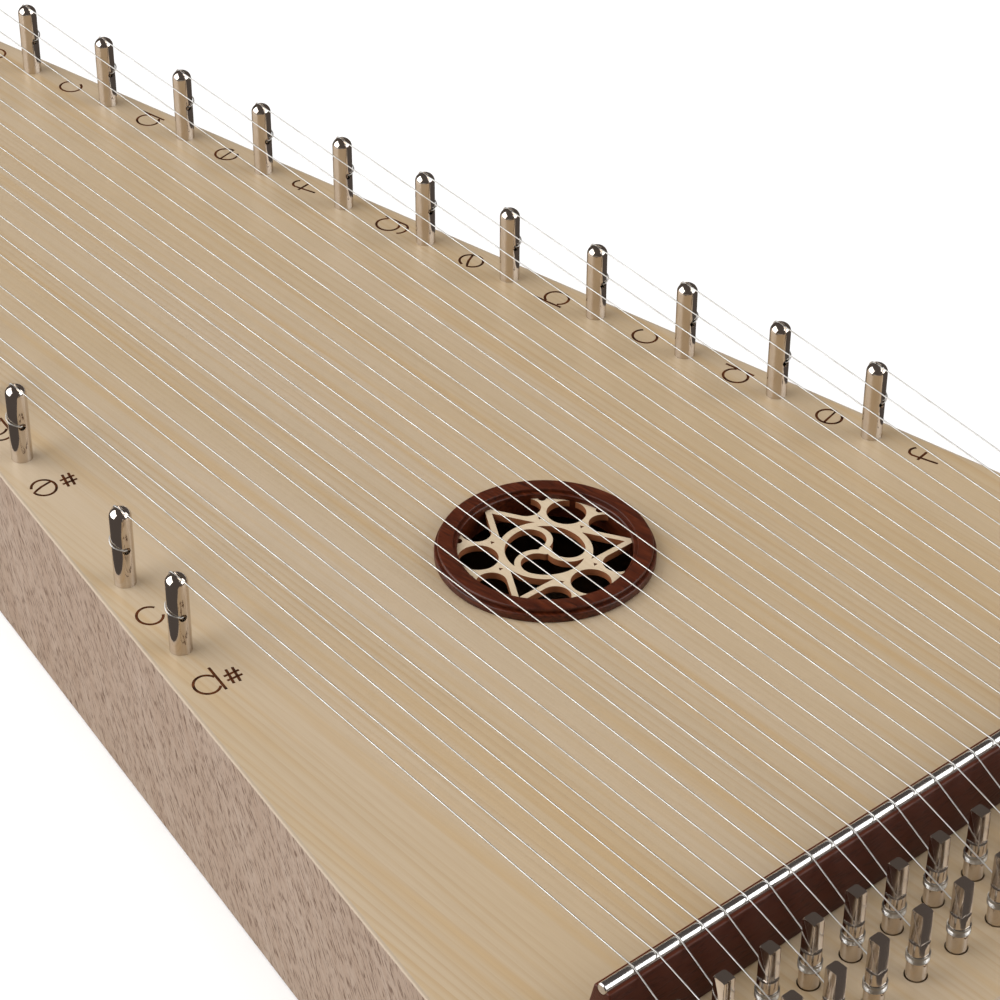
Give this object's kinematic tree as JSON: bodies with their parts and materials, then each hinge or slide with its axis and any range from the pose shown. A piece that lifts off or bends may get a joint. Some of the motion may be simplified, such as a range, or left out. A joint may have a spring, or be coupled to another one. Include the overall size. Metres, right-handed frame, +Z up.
{
  "type": "bowed psaltery",
  "caption": "Triangular bowed psaltery: a shallow veneered box with a spruce top, wire strings from edge hitch pins over a bridge to turning pins, and a fretted rosette.",
  "frame": {"origin": "centre of the box's outline on the underside of the back", "axes": "+X towards the naturals' pins, +Y along the axis towards the narrow end, +Z up out of the soundboard"},
  "size_m": [0.292, 0.814, 0.0803],
  "materials": {
    "spruce": "satin varnish, fine straight grain",
    "mahogany": "open-pored, satin",
    "beech": "planed, bare",
    "dark_mahogany": "turned and stained, satin",
    "limewood": "laser-cut, scorched edges",
    "walnut": "planed, oiled",
    "rod_steel": "ground",
    "nickel": "polished nickel plate",
    "string_steel": "bright drawn wire"
  },
  "bodies": {
    "box": {"soundboard": "spruce", "back_plate": "mahogany", "side_veneer_left": "mahogany", "side_veneer_right": "mahogany", "base_veneer": "mahogany", "apex_veneer": "mahogany", "side_rail_left": "beech", "side_rail_right": "beech", "apex_block": "beech", "pin_block": "beech", "soundboard_bar_1": "spruce", "soundboard_bar_2": "spruce", "soundboard_bar_3": "spruce", "back_bar_1": "spruce", "back_bar_2": "spruce", "rosette_ring": "dark_mahogany", "rosette": "limewood", "bridge": "walnut", "bridge_rod": "rod_steel", "natural_hitch_pins": "nickel", "sharp_hitch_pins": "nickel", "natural_strings": "string_steel", "sharp_strings": "string_steel"},
    "tuning_pin_01": {"tuning_pin_01": "nickel"},
    "tuning_pin_02": {"tuning_pin_02": "nickel"},
    "tuning_pin_03": {"tuning_pin_03": "nickel"},
    "tuning_pin_04": {"tuning_pin_04": "nickel"},
    "tuning_pin_05": {"tuning_pin_05": "nickel"},
    "tuning_pin_06": {"tuning_pin_06": "nickel"},
    "tuning_pin_07": {"tuning_pin_07": "nickel"},
    "tuning_pin_08": {"tuning_pin_08": "nickel"},
    "tuning_pin_09": {"tuning_pin_09": "nickel"},
    "tuning_pin_10": {"tuning_pin_10": "nickel"},
    "tuning_pin_11": {"tuning_pin_11": "nickel"},
    "tuning_pin_12": {"tuning_pin_12": "nickel"},
    "tuning_pin_13": {"tuning_pin_13": "nickel"},
    "tuning_pin_14": {"tuning_pin_14": "nickel"},
    "tuning_pin_15": {"tuning_pin_15": "nickel"},
    "tuning_pin_16": {"tuning_pin_16": "nickel"},
    "tuning_pin_17": {"tuning_pin_17": "nickel"},
    "tuning_pin_18": {"tuning_pin_18": "nickel"},
    "tuning_pin_19": {"tuning_pin_19": "nickel"},
    "tuning_pin_20": {"tuning_pin_20": "nickel"},
    "tuning_pin_21": {"tuning_pin_21": "nickel"},
    "tuning_pin_22": {"tuning_pin_22": "nickel"},
    "tuning_pin_23": {"tuning_pin_23": "nickel"},
    "tuning_pin_24": {"tuning_pin_24": "nickel"},
    "tuning_pin_25": {"tuning_pin_25": "nickel"},
    "tuning_pin_26": {"tuning_pin_26": "nickel"},
    "tuning_pin_27": {"tuning_pin_27": "nickel"},
    "tuning_pin_28": {"tuning_pin_28": "nickel"},
    "tuning_pin_29": {"tuning_pin_29": "nickel"},
    "tuning_pin_30": {"tuning_pin_30": "nickel"}
  },
  "joints": [
    {"name": "tuning_pin_01_turn", "type": "hinge", "parent": "box", "child": "tuning_pin_01", "pos_m": [-0.10392, -0.37496, 0.056], "axis": [0, 0, 1], "range_deg": [-30, 180]},
    {"name": "tuning_pin_02_turn", "type": "hinge", "parent": "box", "child": "tuning_pin_02", "pos_m": [-0.09688, -0.38899, 0.056], "axis": [0, 0, 1], "range_deg": [-30, 180]},
    {"name": "tuning_pin_03_turn", "type": "hinge", "parent": "box", "child": "tuning_pin_03", "pos_m": [-0.09011, -0.37494, 0.056], "axis": [0, 0, 1], "range_deg": [-30, 180]},
    {"name": "tuning_pin_04_turn", "type": "hinge", "parent": "box", "child": "tuning_pin_04", "pos_m": [-0.08324, -0.38896, 0.056], "axis": [0, 0, 1], "range_deg": [-30, 180]},
    {"name": "tuning_pin_05_turn", "type": "hinge", "parent": "box", "child": "tuning_pin_05", "pos_m": [-0.076, -0.37497, 0.056], "axis": [0, 0, 1], "range_deg": [-30, 180]},
    {"name": "tuning_pin_06_turn", "type": "hinge", "parent": "box", "child": "tuning_pin_06", "pos_m": [-0.06951, -0.38895, 0.056], "axis": [0, 0, 1], "range_deg": [-30, 180]},
    {"name": "tuning_pin_07_turn", "type": "hinge", "parent": "box", "child": "tuning_pin_07", "pos_m": [-0.06221, -0.37495, 0.056], "axis": [0, 0, 1], "range_deg": [-30, 180]},
    {"name": "tuning_pin_08_turn", "type": "hinge", "parent": "box", "child": "tuning_pin_08", "pos_m": [-0.05575, -0.38893, 0.056], "axis": [0, 0, 1], "range_deg": [-30, 180]},
    {"name": "tuning_pin_09_turn", "type": "hinge", "parent": "box", "child": "tuning_pin_09", "pos_m": [-0.0484, -0.37494, 0.056], "axis": [0, 0, 1], "range_deg": [-30, 180]},
    {"name": "tuning_pin_10_turn", "type": "hinge", "parent": "box", "child": "tuning_pin_10", "pos_m": [-0.0417, -0.38894, 0.056], "axis": [0, 0, 1], "range_deg": [-30, 180]},
    {"name": "tuning_pin_11_turn", "type": "hinge", "parent": "box", "child": "tuning_pin_11", "pos_m": [-0.03459, -0.37492, 0.056], "axis": [0, 0, 1], "range_deg": [-30, 180]},
    {"name": "tuning_pin_12_turn", "type": "hinge", "parent": "box", "child": "tuning_pin_12", "pos_m": [-0.02799, -0.38892, 0.056], "axis": [0, 0, 1], "range_deg": [-30, 180]},
    {"name": "tuning_pin_13_turn", "type": "hinge", "parent": "box", "child": "tuning_pin_13", "pos_m": [-0.02062, -0.37493, 0.056], "axis": [0, 0, 1], "range_deg": [-30, 180]},
    {"name": "tuning_pin_14_turn", "type": "hinge", "parent": "box", "child": "tuning_pin_14", "pos_m": [-0.0141, -0.38892, 0.056], "axis": [0, 0, 1], "range_deg": [-30, 180]},
    {"name": "tuning_pin_15_turn", "type": "hinge", "parent": "box", "child": "tuning_pin_15", "pos_m": [-0.00678, -0.37492, 0.056], "axis": [0, 0, 1], "range_deg": [-30, 180]},
    {"name": "tuning_pin_16_turn", "type": "hinge", "parent": "box", "child": "tuning_pin_16", "pos_m": [-0.00032, -0.38891, 0.056], "axis": [0, 0, 1], "range_deg": [-30, 180]},
    {"name": "tuning_pin_17_turn", "type": "hinge", "parent": "box", "child": "tuning_pin_17", "pos_m": [0.00706, -0.3749, 0.056], "axis": [0, 0, 1], "range_deg": [-30, 180]},
    {"name": "tuning_pin_18_turn", "type": "hinge", "parent": "box", "child": "tuning_pin_18", "pos_m": [0.01347, -0.3889, 0.056], "axis": [0, 0, 1], "range_deg": [-30, 180]},
    {"name": "tuning_pin_19_turn", "type": "hinge", "parent": "box", "child": "tuning_pin_19", "pos_m": [0.02092, -0.37489, 0.056], "axis": [0, 0, 1], "range_deg": [-30, 180]},
    {"name": "tuning_pin_20_turn", "type": "hinge", "parent": "box", "child": "tuning_pin_20", "pos_m": [0.02728, -0.38889, 0.056], "axis": [0, 0, 1], "range_deg": [-30, 180]},
    {"name": "tuning_pin_21_turn", "type": "hinge", "parent": "box", "child": "tuning_pin_21", "pos_m": [0.03477, -0.37488, 0.056], "axis": [0, 0, 1], "range_deg": [-30, 180]},
    {"name": "tuning_pin_22_turn", "type": "hinge", "parent": "box", "child": "tuning_pin_22", "pos_m": [0.0411, -0.38888, 0.056], "axis": [0, 0, 1], "range_deg": [-30, 180]},
    {"name": "tuning_pin_23_turn", "type": "hinge", "parent": "box", "child": "tuning_pin_23", "pos_m": [0.04864, -0.37488, 0.056], "axis": [0, 0, 1], "range_deg": [-30, 180]},
    {"name": "tuning_pin_24_turn", "type": "hinge", "parent": "box", "child": "tuning_pin_24", "pos_m": [0.05492, -0.38887, 0.056], "axis": [0, 0, 1], "range_deg": [-30, 180]},
    {"name": "tuning_pin_25_turn", "type": "hinge", "parent": "box", "child": "tuning_pin_25", "pos_m": [0.06251, -0.37487, 0.056], "axis": [0, 0, 1], "range_deg": [-30, 180]},
    {"name": "tuning_pin_26_turn", "type": "hinge", "parent": "box", "child": "tuning_pin_26", "pos_m": [0.06875, -0.38886, 0.056], "axis": [0, 0, 1], "range_deg": [-30, 180]},
    {"name": "tuning_pin_27_turn", "type": "hinge", "parent": "box", "child": "tuning_pin_27", "pos_m": [0.07638, -0.37486, 0.056], "axis": [0, 0, 1], "range_deg": [-30, 180]},
    {"name": "tuning_pin_28_turn", "type": "hinge", "parent": "box", "child": "tuning_pin_28", "pos_m": [0.08256, -0.38886, 0.056], "axis": [0, 0, 1], "range_deg": [-30, 180]},
    {"name": "tuning_pin_29_turn", "type": "hinge", "parent": "box", "child": "tuning_pin_29", "pos_m": [0.09022, -0.37485, 0.056], "axis": [0, 0, 1], "range_deg": [-30, 180]},
    {"name": "tuning_pin_30_turn", "type": "hinge", "parent": "box", "child": "tuning_pin_30", "pos_m": [0.0963, -0.38884, 0.056], "axis": [0, 0, 1], "range_deg": [-30, 180]}
  ]
}
